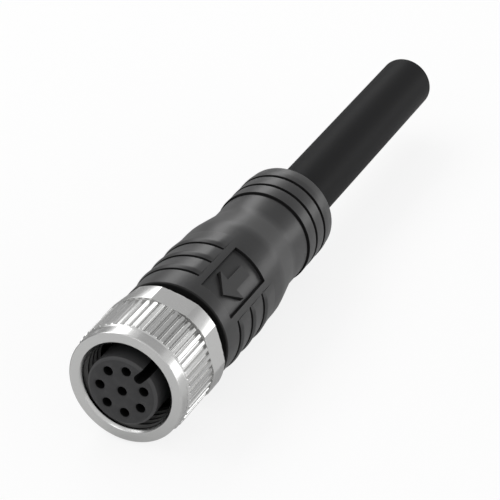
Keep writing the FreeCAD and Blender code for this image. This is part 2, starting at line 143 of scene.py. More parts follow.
for strip_name, angle, width, radiance in STRIPS:
    strip_data = bpy.data.lights.new(strip_name, "AREA")
    strip_data.shape = "RECTANGLE"
    strip_data.size = width
    strip_data.size_y = STRIP_LENGTH
    strip_data.energy = radiance * math.pi * width * STRIP_LENGTH
    strip = bpy.data.objects.new(strip_name, strip_data)
    turn = Matrix.Rotation(math.radians(angle), 4, "Y")
    strip.matrix_world = (
        Matrix.Translation((0, STRIP_MIDDLE_Y, 0)) @ turn
        @ Matrix.Translation((0, 0, LAMP_DISTANCE)))
    bpy.context.scene.collection.objects.link(strip)
front_data = bpy.data.lights.new("front_lamp", "AREA")
front_data.size = FRONT_LAMP_SIZE
front_data.energy = FRONT_LAMP_POWER
front_lamp = bpy.data.objects.new("front_lamp", front_data)
front_lamp.location = FRONT_LAMP_PLACE
front_lamp.rotation_euler = Vector(FRONT_LAMP_PLACE).to_track_quat("Z", "Y").to_euler()
bpy.context.scene.collection.objects.link(front_lamp)

for card_name, first_side, second_side, (card_front, card_back), card_brightness in CARDS:
    card_material = bpy.data.materials.new(card_name)
    card_material.use_nodes = True
    card_material.node_tree.nodes.clear()
    card_glow = node(card_material.node_tree, "ShaderNodeEmission", {
        "Color": WHITE, "Strength": card_brightness})
    node(card_material.node_tree, "ShaderNodeOutputMaterial", {"Surface": card_glow.outputs[0]})
    card_mesh = bpy.data.meshes.new(card_name)
    card_corners = [
        (x, y, z)
        for (x, z), y in (
            (first_side, card_front), (second_side, card_front),
            (second_side, card_back), (first_side, card_back))]
    card_mesh.from_pydata(card_corners, [], [(0, 1, 2, 3)])
    card_mesh.materials.append(card_material)
    card = bpy.data.objects.new(card_name, card_mesh)
    card.visible_camera = False
    card.visible_diffuse = False
    card.visible_shadow = False
    card.visible_transmission = False
    bpy.context.scene.collection.objects.link(card)

# The floor is a wide pale sheet that the connector lies on. It is nearly white, and still takes the
# connector's soft shadow.
FLOOR_HALF = 3.0
FLOOR_COLOUR = (0.90, 0.90, 0.90, 1)
FLOOR_GLOW_SHARE = 0.84
FLOOR_REFLECTED_GLOW_SHARE = 0.15

floor_mesh = bpy.data.meshes.new("floor")
floor_z = cad_box[0].z
floor_mesh.from_pydata([
    (-FLOOR_HALF, -FLOOR_HALF, floor_z),
    (FLOOR_HALF, -FLOOR_HALF, floor_z),
    (FLOOR_HALF, FLOOR_HALF, floor_z),
    (-FLOOR_HALF, FLOOR_HALF, floor_z)], [], [(0, 1, 2, 3)])
floor = bpy.data.objects.new("floor", floor_mesh)
bpy.context.scene.collection.objects.link(floor)
floor_material = bpy.data.materials.new("pale_floor")
floor_material.use_nodes = True
floor_tree = floor_material.node_tree
floor_tree.nodes.clear()
matt = node(floor_tree, "ShaderNodeBsdfDiffuse", {"Color": FLOOR_COLOUR})
glow = node(floor_tree, "ShaderNodeEmission", {"Color": WHITE, "Strength": 1.0})
floor_path = node(floor_tree, "ShaderNodeLightPath").outputs
in_glass_or_metal = calculated(
    floor_tree, "MAXIMUM", floor_path["Is Glossy Ray"], floor_path["Is Transmission Ray"])
glow_share = calculated(
    floor_tree, "MULTIPLY_ADD", floor_path["Is Camera Ray"], FLOOR_GLOW_SHARE,
    calculated(floor_tree, "MULTIPLY", in_glass_or_metal, FLOOR_REFLECTED_GLOW_SHARE))
floor_mix = node(floor_tree, "ShaderNodeMixShader", {
    0: glow_share, 1: matt.outputs[0], 2: glow.outputs[0]})
node(floor_tree, "ShaderNodeOutputMaterial", {"Surface": floor_mix.outputs[0]})
floor_mesh.materials.append(floor_material)

# The coupling nut is turned from brass bar and nickel plated: a plain collar, fifty knurled ribs,
# six spanner flats and an M12 x 1 thread inside. It turns freely on the insert behind it.
NUT_COLUMNS_PER_RIB = 16
RIBS = 50
RIB_TURN = math.radians(6.6)
RIB_ROOT = 6.88
RIB_TOP = 7.23
RIB_FLOOR_SHARE = 0.13
RIB_VALLEY_SHARE = 0.64
RIB_ZONE = (1.62, 7.28)
FLATS = 6
HEX_TURN = math.radians(15.6)
HEX_FLAT = 7.03
HEX_START = 7.40
NUT_CORNERS = (
    (5.78, 0, 0.05), (6.90, 0, 0.03), (7.0, 0.10, 0.03), (7.0, 1.50, 0.05), (7.1195, 1.6195, 0),
    (7.1205, 1.6205, 0), (7.23, 1.73, 0.05), (7.23, 7.17, 0.05), (7.1205, 7.2795, 0),
    (7.1195, 7.2805, 0), (7.0, 7.40, 0), (7.40, 7.4005, 0.05), (7.40, 10.15, 0.04),
    (7.275, 10.2125, 0), (7.15, 10.275, 0), (7.025, 10.3375, 0), (6.90, 10.40, 0.05),
    (4.6587, 10.40, 0.08), (4.6587, 8.60, 0.05), (6.05, 8.60, 0), (6.05, 6.20, 0),
    (5.98, 6.20, 0), (5.98, 0.83, 0), (5.4587, 0.55, 0.04), (5.4587, 0.32, 0.03))
THREAD_RIDGE = ((6.0, -0.45), (5.4587, -0.125), (5.4587, 0.125), (6.0, 0.45))
THREAD_PITCH = 1.0
THREAD_TURNS = 4.7
THREAD_COLUMNS = 452
THREAD_START = 1.0
THREAD_FADE_TURNS = 0.35
NICKEL_COLOUR = (0.50, 0.50, 0.495, 1)
NICKEL_ROUGHNESS = 0.22
TOOL_LINE = 0.12
TOOL_LINE_DEPTH = 0.004
TOOL_LINE_STRENGTH = 0.25
# The bore's darker nickel colour is painted shade.
BORE_SHADE_COLOUR = (0.10, 0.10, 0.099, 1)
BORE_ROUGHNESS = 0.42
BORE_LIMIT = 6.1
BORE_FRONT = 0.33
ARC_STEP = math.radians(15)
MERGE_DISTANCE = 2e-7
SHARP_ANGLE = math.radians(30)
LARGE_FACE_WEIGHT = 80


def rounded_section(corners, step=ARC_STEP):
    """Section points from (radius, y, rounding) corners, with each rounding drawn as a true arc."""
    points = []
    for k, (radius, y, rounding) in enumerate(corners):
        corner = Vector((radius, y, 0))
        if not rounding:
            points.append(corner)
            continue
        back = (Vector((*corners[k - 1][:2], 0)) - corner).normalized()
        onward = (Vector((*corners[(k + 1) % len(corners)][:2], 0)) - corner).normalized()
        turn = math.pi - back.angle(onward)
        reach = rounding * math.tan(turn / 2)
        centre = corner + (back + onward).normalized() * (rounding / math.cos(turn / 2))
        first = corner + back * reach - centre
        last = corner + onward * reach - centre
        steps = max(2, math.ceil(turn / step))
        points += [
            centre + first.slerp(last, n / steps).normalized() * rounding
            for n in range(steps + 1)]
    return [(point.x, point.y) for point in points]


def section_mesh(points, closed=True):
    """Source mesh that holds a section's (radius, y) points in millimetres, in order."""
    points = list(points) + (list(points[:1]) if closed else [])
    mesh = bpy.data.meshes.new("section")
    edges = [(k, k + 1) for k in range(len(points) - 1)]
    mesh.from_pydata([(radius * MM, y * MM, 0) for radius, y in points], edges, [])
    return mesh


def geometry_tree(name, inputs):
    """New geometry tree with named inputs, a dict of name to socket type."""
    tree = bpy.data.node_groups.new(name, "GeometryNodeTree")
    tree.interface.new_socket("Geometry", in_out="INPUT", socket_type="NodeSocketGeometry")
    for key, kind in inputs.items():
        tree.interface.new_socket(key, in_out="INPUT", socket_type="NodeSocket" + kind)
    tree.interface.new_socket("Geometry", in_out="OUTPUT", socket_type="NodeSocketGeometry")
    return tree, node(tree, "NodeGroupInput").outputs


def swept_section(tree, section, columns, turns, pitch, start):
    """Grid with a row for each point of the section and with columns that go round the Y axis.

    Gives the grid, each point's radius, place along the axis and angle, and its column's share of
    the way round.
    """
    rows = node(tree, "GeometryNodeAttributeDomainSize", {0: section}).outputs["Point Count"]
    grid = node(tree, "GeometryNodeMeshGrid", {
        "Vertices X": calculated(tree, "ADD", columns, 1.0), "Vertices Y": rows})
    index = node(tree, "GeometryNodeInputIndex").outputs[0]
    column = calculated(tree, "FLOOR", calculated(tree, "DIVIDE", index, rows))
    row = calculated(tree, "SUBTRACT", index, calculated(tree, "MULTIPLY", column, rows))
    place = node(tree, "GeometryNodeInputPosition").outputs[0]
    sampled = node(tree, "GeometryNodeSampleIndex", {
        "Geometry": section, "Index": row}, data_type="FLOAT_VECTOR")
    tree.links.new(place, sampled.inputs["Value"])
    radius_and_y = node(tree, "ShaderNodeSeparateXYZ", {0: sampled.outputs[0]}).outputs
    share = calculated(tree, "DIVIDE", column, columns)
    turned = calculated(tree, "MULTIPLY", share, turns)
    y = calculated(tree, "MULTIPLY_ADD", turned, pitch, radius_and_y["Y"])
    angle = calculated(tree, "MULTIPLY_ADD", turned, 2 * math.pi, start)
    return grid.outputs["Mesh"], radius_and_y["X"], y, angle, share


def finish_tree(tree, geometry, material):
    """Ends a tree in real geometry with its material."""
    real = node(tree, "GeometryNodeRealizeInstances", {0: geometry})
    painted = node(tree, "GeometryNodeSetMaterial", {0: real.outputs[0], "Material": material})
    node(tree, "NodeGroupOutput", {0: painted.outputs[0]})


def wrapped(tree, grid, radius, y, angle, material):
    """Ends a tree with the grid laid round the Y axis, its meeting edges joined, in a material."""
    x = calculated(tree, "MULTIPLY", radius, calculated(tree, "SINE", angle))
    z = calculated(tree, "MULTIPLY", radius, calculated(tree, "COSINE", angle))
    place = node(tree, "ShaderNodeCombineXYZ", {"X": x, "Y": y, "Z": z})
    laid = node(tree, "GeometryNodeSetPosition", {0: grid, "Position": place.outputs[0]})
    merged = node(tree, "GeometryNodeMergeByDistance", {
        0: laid.outputs[0], "Distance": MERGE_DISTANCE})
    finish_tree(tree, merged.outputs[0], material)


def paint(mesh, *materials):
    """Gives a mesh these materials, all its faces in the first."""
    mesh.materials.clear()
    for material in materials:
        mesh.materials.append(material)
    for face in mesh.polygons:
        face.material_index = 0


def made_by(tree, source, values):
    """Plain mesh in one material that the tree makes from a source mesh and these named values."""
    holder = bpy.data.objects.new("made_by_" + tree.name, source)
    bpy.context.scene.collection.objects.link(holder)
    modifier = holder.modifiers.new("shape", "NODES")
    modifier.node_group = tree
    for item in tree.interface.items_tree:
        if item.in_out == "INPUT" and item.name in values:
            modifier[item.identifier] = values[item.name]
    evaluated = holder.evaluated_get(bpy.context.evaluated_depsgraph_get())
    mesh = bpy.data.meshes.new_from_object(evaluated)
    bpy.data.objects.remove(holder)
    material = next(slot for slot in mesh.materials if slot)
    paint(mesh, material)
    return mesh


def joined(name, meshes, weighted=False):
    """One piece at the origin from these meshes: doubles merged, faces out, sharp edges kept."""
    shape = bmesh.new()
    for mesh in meshes:
        shape.from_mesh(mesh)
    bmesh.ops.remove_doubles(shape, verts=shape.verts, dist=MERGE_DISTANCE)
    bmesh.ops.recalc_face_normals(shape, faces=shape.faces)
    whole = bpy.data.meshes.new(name)
    shape.to_mesh(whole)
    shape.free()
    for material in meshes[0].materials:
        whole.materials.append(material)
    whole.shade_smooth()
    whole.set_sharp_from_angle(angle=SHARP_ANGLE)
    piece = bpy.data.objects.new(name, whole)
    bpy.context.scene.collection.objects.link(piece)
    if weighted:
        modifier = piece.modifiers.new("weighted_normals", "WEIGHTED_NORMAL")
        modifier.weight = LARGE_FACE_WEIGHT
        modifier.keep_sharp = True
        evaluated = piece.evaluated_get(bpy.context.evaluated_depsgraph_get())
        piece.data = bpy.data.meshes.new_from_object(evaluated)
        piece.modifiers.clear()
    return piece


def surface(name, colour, roughness, relief=None, **sockets):
    """Material with a Principled surface and a relief; other sockets by name, _ for a space."""
    material = bpy.data.materials.new(name)
    material.use_nodes = True
    tree = material.node_tree
    tree.nodes.clear()
    shader = node(tree, "ShaderNodeBsdfPrincipled", {
        "Base Color": colour, "Roughness": roughness,
        **{key.replace("_", " "): value for key, value in sockets.items()}})
    if relief:
        tree.links.new(relief(tree), shader.inputs["Normal"])
    node(tree, "ShaderNodeOutputMaterial", {"Surface": shader.outputs[0]})
    return material


def turning_lines(tree):
    """Normal that shows the fine lines a cutting tool leaves round the Y axis."""
    place = node(tree, "ShaderNodeTexCoord").outputs["Object"]
    part = node(tree, "ShaderNodeSeparateXYZ", {0: place}).outputs
    z_squared = calculated(tree, "MULTIPLY", part["Z"], part["Z"])
    radius_squared = calculated(tree, "MULTIPLY_ADD", part["X"], part["X"], z_squared)
    radius = calculated(tree, "SQRT", radius_squared)
    line = node(tree, "ShaderNodeCombineXYZ", {"X": radius, "Y": part["Y"]})
    noise = node(tree, "ShaderNodeTexNoise", {
        "Vector": line.outputs[0], "Scale": 1 / (TOOL_LINE * MM), "Detail": 3.0, "Roughness": 0.6})
    return node(tree, "ShaderNodeBump", {
        "Strength": TOOL_LINE_STRENGTH, "Distance": TOOL_LINE_DEPTH * MM,
        "Height": noise.outputs[0]}).outputs[0]


nickel = surface("nickel_plate", NICKEL_COLOUR, NICKEL_ROUGHNESS, turning_lines, Metallic=1.0)
bore_nickel_painted_shade = surface("bore_nickel_painted_shade", BORE_SHADE_COLOUR, BORE_ROUGHNESS, Metallic=1.0)

nut_tree, size = geometry_tree("knurled_hexagon_nut", {
    "Columns": "Float", "Ribs": "Float", "Rib turn": "Float", "Rib root": "Float",
    "Rib height": "Float", "Floor share": "Float", "Slope share": "Float", "Ribs from": "Float",
    "Ribs to": "Float", "Flat": "Float", "Flat turn": "Float", "Flats from": "Float"})
nut_value = partial(calculated, nut_tree)
grid, radius, y, angle, _ = swept_section(
    nut_tree, size["Geometry"], size["Columns"], turns=1.0, pitch=0.0, start=RIB_TURN)
past_start = nut_value("SUBTRACT", angle, size["Rib turn"])
rib_count = nut_value("MULTIPLY", nut_value("DIVIDE", past_start, 2 * math.pi), size["Ribs"])
from_valley = nut_value("MULTIPLY", nut_value("PINGPONG", rib_count, 0.5), 2.0)
past_floor = nut_value("SUBTRACT", from_valley, size["Floor share"])
slope = node(nut_tree, "ShaderNodeMapRange", {
    "Value": nut_value("DIVIDE", past_floor, size["Slope share"])},
    interpolation_type="SMOOTHSTEP").outputs[0]
ribbed = nut_value("MULTIPLY_ADD", slope, size["Rib height"], size["Rib root"])
# Outside the ribs or the flats, a whole metre is added to their limit, so that it has no effect.
before_ribs = nut_value("LESS_THAN", y, size["Ribs from"])
after_ribs = nut_value("GREATER_THAN", y, size["Ribs to"])
ribs_limit = nut_value("ADD", ribbed, nut_value("MAXIMUM", before_ribs, after_ribs))
radius = nut_value("MINIMUM", radius, ribs_limit)
past_flat = nut_value("SUBTRACT", angle, size["Flat turn"])
from_flat = nut_value("PINGPONG", past_flat, math.pi / FLATS)
flattened = nut_value("DIVIDE", size["Flat"], nut_value("COSINE", from_flat))
before_flats = nut_value("LESS_THAN", y, size["Flats from"])
radius = nut_value("MINIMUM", radius, nut_value("ADD", flattened, before_flats))
wrapped(nut_tree, grid, radius, y, angle, nickel)
nut_body = made_by(nut_tree, section_mesh(rounded_section(NUT_CORNERS)), {
    "Columns": float(RIBS * NUT_COLUMNS_PER_RIB), "Ribs": float(RIBS), "Rib turn": RIB_TURN,
    "Rib root": RIB_ROOT * MM, "Rib height": (RIB_TOP - RIB_ROOT) * MM,
    "Floor share": RIB_FLOOR_SHARE, "Slope share": RIB_VALLEY_SHARE - RIB_FLOOR_SHARE,
    "Ribs from": RIB_ZONE[0] * MM, "Ribs to": RIB_ZONE[1] * MM, "Flat": HEX_FLAT * MM,
    "Flat turn": HEX_TURN, "Flats from": HEX_START * MM})

thread_tree, size = geometry_tree("coupling_thread", {
    "Columns": "Float", "Turns": "Float", "Pitch": "Float", "Root": "Float", "Fade": "Float"})
thread_value = partial(calculated, thread_tree)
grid, radius, y, angle, share = swept_section(
    thread_tree, size["Geometry"], size["Columns"], size["Turns"], size["Pitch"], start=0.0)
from_end = thread_value("MULTIPLY", thread_value("PINGPONG", share, 0.5), size["Turns"])
fade = thread_value("MINIMUM", thread_value("DIVIDE", from_end, size["Fade"]), 1.0)
rise = thread_value("SUBTRACT", radius, size["Root"])
radius = thread_value("MULTIPLY_ADD", rise, fade, size["Root"])
wrapped(thread_tree, grid, radius, y, angle, nickel)
thread_ridge = [(radius, y + THREAD_START) for radius, y in THREAD_RIDGE]
nut_thread = made_by(thread_tree, section_mesh(thread_ridge, closed=False), {
    "Columns": float(THREAD_COLUMNS), "Turns": THREAD_TURNS, "Pitch": THREAD_PITCH * MM,
    "Root": THREAD_RIDGE[0][0] * MM, "Fade": THREAD_FADE_TURNS})
coupling_nut = joined("knurled_coupling_nut", [nut_body, nut_thread], weighted=True)
coupling_nut.data.materials.append(bore_nickel_painted_shade)
# The bore and its thread get a duller, darker copy of the nickel: painted shade, as hardly any
# light reaches them past the insert.
for face in coupling_nut.data.polygons:
    from_axis = math.hypot(face.center.x, face.center.z)
    if from_axis < BORE_LIMIT * MM and face.center.y > BORE_FRONT * MM:
        face.material_index = 1
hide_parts("coupling_nut")
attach(coupling_nut, "nut")

# The contact insert is a black moulded insulator with eight chambers and a coding keyway. The nut
# turns on its neck, and its notched back end is locked into the moulded grip.
INSERT_COLOUR = (0.034, 0.034, 0.035, 1)
INSERT_ROUGHNESS = 0.55
# Painted shade: the insert's chambers, keyway and neck get this near-black colour.
INSERT_SHADE_COLOUR = (0.006, 0.006, 0.006, 1)
INSERT_SHADE_ROUGHNESS = 0.85
INSERT_SHADE_SHINE = 0.03
# Painted highlight: the chamfer round the insert's face is given this lighter colour.
INSERT_HIGHLIGHT_COLOUR = (0.050, 0.050, 0.051, 1)
INSERT_FACE_Y = -0.82
FACE_DEPTH = 0.02
RIM_HIGHLIGHT_RADIUS = 3.95
RIM_HIGHLIGHT_DEPTH = 0.28
HOLE_EDGE_DEPTH = 0.17
HOLES_RADIUS = 3.75
NECK_START = 8.55
PLASTIC_SHINE = 0.25
INSERT_GRAIN = (0.12, 0.006)
GRAIN_STRENGTH = 0.3
CYLINDER_AWAY = 0.97
CYLINDER_SLOPE = 0.01
SLOPE_LIMIT = 0.6
WALL_SLOPE = 0.9
WALL_AWAY = 0.5


def moulded_grain(tree, grain):
    """Normal of the fine even grain on a moulded plastic face, from the grain's size and depth."""
    place = node(tree, "ShaderNodeTexCoord").outputs["Object"]
    size, depth = grain
    noise = node(tree, "ShaderNodeTexNoise", {
        "Vector": place, "Scale": 1 / (size * MM), "Detail": 2.0})
    return node(tree, "ShaderNodeBump", {
        "Strength": GRAIN_STRENGTH, "Distance": depth * MM, "Height": noise.outputs[0]}).outputs[0]


def plastic(name, colour, roughness, shine=PLASTIC_SHINE, grain=INSERT_GRAIN):
    """Moulded or extruded plastic with a fine grain."""
    relief = partial(moulded_grain, grain=grain)
    return surface(name, colour, roughness, relief, Specular_IOR_Level=shine)


def outwards(face):
    """How far a face is from the axis, in millimetres, and how squarely it faces away from it."""
    middle = Vector((face.center.x, 0, face.center.z))
    away = middle.normalized().dot(face.normal) if middle.length > 0 else 0.0
    return middle.length / MM, away


def true_rounds(mesh):
    """Shades the faces that are round about the Y axis as true cylinders, not by their facets."""
    normals = [corner.vector.copy() for corner in mesh.corner_normals]
    for face in mesh.polygons:
        _, away = outwards(face)
        if abs(away) < CYLINDER_AWAY or abs(face.normal.y) > CYLINDER_SLOPE:
            continue
        for corner in face.loop_indices:
            place = mesh.vertices[mesh.loops[corner].vertex_index].co
            normals[corner] = Vector((place.x, 0, place.z)).normalized() * math.copysign(1, away)
    mesh.normals_split_custom_set(normals)


def cad_copy(name, node_name, *materials):
    """Piece that is a merged and smooth copy of a CAD node, in the first of these materials."""
    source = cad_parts[node_name].data.copy()
    paint(source, *materials)
    piece = joined(name, [source])
    true_rounds(piece.data)
    return piece


insert_plastic = plastic("insert_plastic", INSERT_COLOUR, INSERT_ROUGHNESS)
insert_painted_shade = plastic(
    "insert_painted_shade", INSERT_SHADE_COLOUR, INSERT_SHADE_ROUGHNESS, INSERT_SHADE_SHINE)
insert_edge_highlight = plastic("insert_edge_highlight", INSERT_HIGHLIGHT_COLOUR, INSERT_ROUGHNESS)
insert = cad_copy(
    "keyed_contact_insert", "contact_carrier", insert_plastic, insert_painted_shade, insert_edge_highlight)
# Painted shade makes the chambers, the keyway and the neck black, and a painted highlight makes the
# rim of the face a little lighter.
for face in insert.data.polygons:
    distance, away = outwards(face)
    depth = face.center.y / MM - INSERT_FACE_Y
    slope = abs(face.normal.y)
    among_holes = distance < HOLES_RADIUS
    hole_edge = among_holes and slope > SLOPE_LIMIT and depth < HOLE_EDGE_DEPTH
    facing_in = away < WALL_AWAY and slope < WALL_SLOPE or among_holes
    neck = face.center.y / MM > NECK_START
    if neck or depth > FACE_DEPTH and facing_in and not hole_edge:
        face.material_index = 1
    elif FACE_DEPTH < depth < RIM_HIGHLIGHT_DEPTH and distance > RIM_HIGHLIGHT_RADIUS:
        face.material_index = 2
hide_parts("contact_carrier")
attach(insert, "connector")

# The sealing ring is a round-section rubber ring. It lies in its groove on the insert, against the
# flange, and the plug's sleeve presses on it when the nut is tightened.
RING_COLOUR = (0.012, 0.012, 0.012, 1)
RING_ROUGHNESS = 0.62
RING_GRAIN = (0.2, 0.004)
RING_SECTION = 0.48
RING_CENTRE = (4.5787, 6.72)
RING_POINTS = 28
RING_COLUMNS = 160

rubber = plastic("seal_rubber", RING_COLOUR, RING_ROUGHNESS, grain=RING_GRAIN)
ring_turns = [2 * math.pi * step / RING_POINTS for step in range(RING_POINTS)]
ring_section = [
    (RING_CENTRE[0] + RING_SECTION * math.cos(turn), RING_CENTRE[1] + RING_SECTION * math.sin(turn))
    for turn in ring_turns]


def turned_mesh(name, columns, material):
    """Mesh round the Y axis from columns, each an angle in degrees and its (radius, y) section."""
    rows = len(columns[0][1])
    corners = []
    for angle, section in columns:
        across = math.sin(math.radians(angle)) * MM
        up = math.cos(math.radians(angle)) * MM
        corners += [(radius * across, y * MM, radius * up) for radius, y in section]
    faces = []
    for column in range(len(columns)):
        here = column * rows
        beside_it = (column + 1) % len(columns) * rows
        for row in range(rows):
            above = (row + 1) % rows
            faces.append((here + row, here + above, beside_it + above, beside_it + row))
    mesh = bpy.data.meshes.new(name)
    mesh.from_pydata(corners, [], faces)
    mesh.materials.append(material)
    return mesh


def turned_piece(name, section, columns, material):
    """Piece turned about the Y axis from one closed section of (radius, y) points."""
    evenly = [(360 * k / columns, section) for k in range(columns)]
    return joined(name, [turned_mesh(name, evenly, material)], weighted=True)


sealing_ring = turned_piece("sealing_ring_rubber", ring_section, RING_COLUMNS, rubber)
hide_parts("sealing_ring")
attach(sealing_ring, "connector")

# The grip is black elastomer moulded over the insert's anchor and the cable's end. It has three
# finger ridges on each side, a sunk panel with the arrow that marks the key, and a ringed tail.
GRIP_COLOUR = (0.026, 0.026, 0.0265, 1)
GRIP_ROUGHNESS = 0.32
GRIP_GRAIN = (0.10, 0.005)
# Painted shade: the grip's front, its grooves and the walls of its panel and arrow get this
# near-black colour.
GRIP_SHADE_COLOUR = (0.004, 0.004, 0.004, 1)
GRIP_SHADE_ROUGHNESS = 0.6
KEY_ANGLE = 44.5
GRIP_RADIUS = 6.969
GRIP_FRONT = 11.75
GRIP_CORNERS = (
    (6.969, 27.40, 9.0), (6.069, 32.40, 9.0), (6.069, 36.30, 0.03), (5.889, 36.30, 0.03),
    (5.889, 36.70, 0.03), (6.284, 36.70, 0.04), (6.224, 38.70, 0.04), (5.889, 38.70, 0.03),
    (5.889, 39.10, 0.03), (6.284, 39.10, 0.04), (6.224, 41.10, 0.04), (5.889, 41.10, 0.03),
    (5.889, 41.50, 0.03), (6.284, 41.50, 0.04), (6.284, 42.40, 3.0), (6.119, 43.90, 0.15))
GRIP_BORE = (
    (3.629, 43.90), (3.629, 28.25), (3.979, 28.25), (4.579, 27.65), (5.0, 24.65), (5.0, 14.05),
    (5.299, 14.05), (5.299, 12.85), (4.599, 12.85), (4.599, 11.75))
GRIP_ARC_STEP = math.radians(7)
ROW_DIGITS = 5
FRONT_ROUND = 0.20
RIDGE_PLACES = (15.24, 18.51, 21.78)
RIDGE_GROOVE = 0.28
RIDGE_END = 24.77
RIDGE_CREST_FROM = 0.50
RIDGE_STEP = 7.049
RIDGE_TOP = 7.199
GROOVE_FLOOR = 6.619
PANEL = (13.88, 23.15)
PANEL_FLOOR = 6.509
PANEL_HALF = 22.0
RIDGE_LAND = 29.3
RIDGE_FADE = 9.0
RIDGE_END_SHARE = 0.25
COLUMN_STEP = 1.8
ARROW_TIP = 15.20
ARROW_HEAD_END = 17.63
ARROW_TAIL = 21.25
ARROW_HALF = 2.06
ARROW_SHAFT_HALF = 0.76
ARROW_TOP = 6.86
ARROW_SUNK = 0.1
ARROW_STEPS = 12
BODY_SHADE_START = 13.24
TAIL_SHADE_SPAN = (36.2, 41.6)
TAIL_SHADE_RADIUS = (5.8, 6.2)
TAIL_GROOVE_FLOOR = 5.889
GRIP_WALL_AWAY = 0.6
WALL_MARGIN = 0.05
FLOOR_MARGIN = 0.18

grip_plastic = plastic("grip_elastomer", GRIP_COLOUR, GRIP_ROUGHNESS, grain=GRIP_GRAIN)
grip_painted_shade = plastic("grip_painted_shade", GRIP_SHADE_COLOUR, GRIP_SHADE_ROUGHNESS)

plain_corners = [(GRIP_RADIUS, GRIP_FRONT, FRONT_ROUND)]
ridge_corners = list(plain_corners)
for start in RIDGE_PLACES:
    ridge_corners += [
        (GRIP_RADIUS, start - RIDGE_GROOVE, 0.04), (GROOVE_FLOOR, start - RIDGE_GROOVE, 0.03),
        (GROOVE_FLOOR, start, 0.03), (RIDGE_STEP, start, 0.05),
        (RIDGE_TOP, start + RIDGE_CREST_FROM, 1.0)]
ridge_corners.append((GRIP_RADIUS, RIDGE_END, 0.3))
panel_corners = plain_corners + [
    (GRIP_RADIUS, PANEL[0], 0.04), (PANEL_FLOOR, PANEL[0], 0.03),
    (PANEL_FLOOR, PANEL[1], 0.03), (GRIP_RADIUS, PANEL[1], 0.04)]


def outline_of(corners):
    """Outside of the grip from front to back, as (radius, y) points, for one kind of column."""
    whole = rounded_section(
        [(*GRIP_BORE[-1], 0), *corners, *GRIP_CORNERS, (*GRIP_BORE[0], 0)], GRIP_ARC_STEP)
    return whole[1:-1]


def radius_at(outline, y, side):
    """Radius of an outline at a place along the axis, just before (-1) or just after (1) it."""
    pairs = list(zip(outline, outline[1:]))
    for (radius, start), (next_radius, end) in pairs if side > 0 else reversed(pairs):
        inside = start <= y < end if side > 0 else start < y <= end
        if inside:
            return radius + (next_radius - radius) * (y - start) / (end - start)
    return outline[-1][0] if side > 0 else outline[0][0]


outlines = [
    [(radius, round(y, ROW_DIGITS)) for radius, y in outline_of(corners)]
    for corners in (plain_corners, ridge_corners, panel_corners)]
rows = sorted({y for outline in outlines for _, y in outline})
sections = []
for outline in outlines:
    section = [(radius_at(outline, y, side), y) for y in rows for side in (-1, 1)]
    section[0] = (GRIP_RADIUS - FRONT_ROUND, GRIP_FRONT)
    section[-1] = (outline[-1][0], rows[-1])
    sections.append(section + list(GRIP_BORE))
plain_section, ridge_section, panel_section = sections
zones = (
    (-PANEL_HALF, PANEL_HALF, panel_section),
    (PANEL_HALF, RIDGE_LAND, plain_section),
    (RIDGE_LAND, 180 - RIDGE_LAND, ridge_section),
    (180 - RIDGE_LAND, 180 + RIDGE_LAND, plain_section),
    (180 + RIDGE_LAND, 360 - RIDGE_LAND, ridge_section),
    (360 - RIDGE_LAND, 360 - PANEL_HALF, plain_section))


def faded(section, from_land):
    """The section at an angle from the flat land, towards which its ridges sink softly."""
    part = min(1.0, from_land / RIDGE_FADE)
    share = RIDGE_END_SHARE + (1 - RIDGE_END_SHARE) * part * part * (3 - 2 * part)
    return [
        (plain + (max(radius, plain) - plain) * share + min(radius - plain, 0.0), y)
        for (plain, _), (radius, y) in zip(plain_section, section)]


grip_columns = []
for first, last, section in zones:
    steps = math.ceil((last - first) / COLUMN_STEP)
    step_angle = (last - first) / steps
    grip_columns += [
        (KEY_ANGLE + first + step_angle * step,
         faded(section, step_angle * min(step, steps - step)))
        for step in range(steps + 1)]


def arrow_mesh():
    """Raised arrow on the panel's round floor, with a flat top."""
    turn = Matrix.Rotation(math.radians(KEY_ANGLE), 4, "Y")
    halves = [ARROW_HALF * k / ARROW_STEPS for k in range(ARROW_STEPS + 1)]
    places = sorted({*halves, *(-across for across in halves), ARROW_SHAFT_HALF, -ARROW_SHAFT_HALF})
    strips = []
    for across in places:
        front = ARROW_TIP + (ARROW_HEAD_END - ARROW_TIP) * abs(across) / ARROW_HALF
        backs = [ARROW_TAIL if abs(across) <= ARROW_SHAFT_HALF else ARROW_HEAD_END]
        if abs(across) == ARROW_SHAFT_HALF:
            backs = [ARROW_HEAD_END, ARROW_TAIL] if across < 0 else [ARROW_TAIL, ARROW_HEAD_END]
        strips += [(across, front, back) for back in backs]
    corners = []
    for across, front, back in strips:
        below_floor = math.sqrt((PANEL_FLOOR - ARROW_SUNK) ** 2 - across ** 2)
        corners += [
            turn @ Vector((across, y, up)) * MM
            for y in (front, back) for up in (ARROW_TOP, below_floor)]
    faces = []
    for k in range(len(strips) - 1):
        a, b = 4 * k, 4 * k + 4
        faces += [
            (a, b, b + 2, a + 2), (a + 1, a + 3, b + 3, b + 1),
            (a, a + 1, b + 1, b), (a + 2, b + 2, b + 3, a + 3)]
    mesh = bpy.data.meshes.new("arrow")
    mesh.from_pydata(corners, [], faces)
    mesh.materials.append(grip_plastic)
    return mesh


grip = joined(
    "ridged_grip", [turned_mesh("grip_body", grip_columns, grip_plastic), arrow_mesh()],
    weighted=True)
grip.data.materials.append(grip_painted_shade)
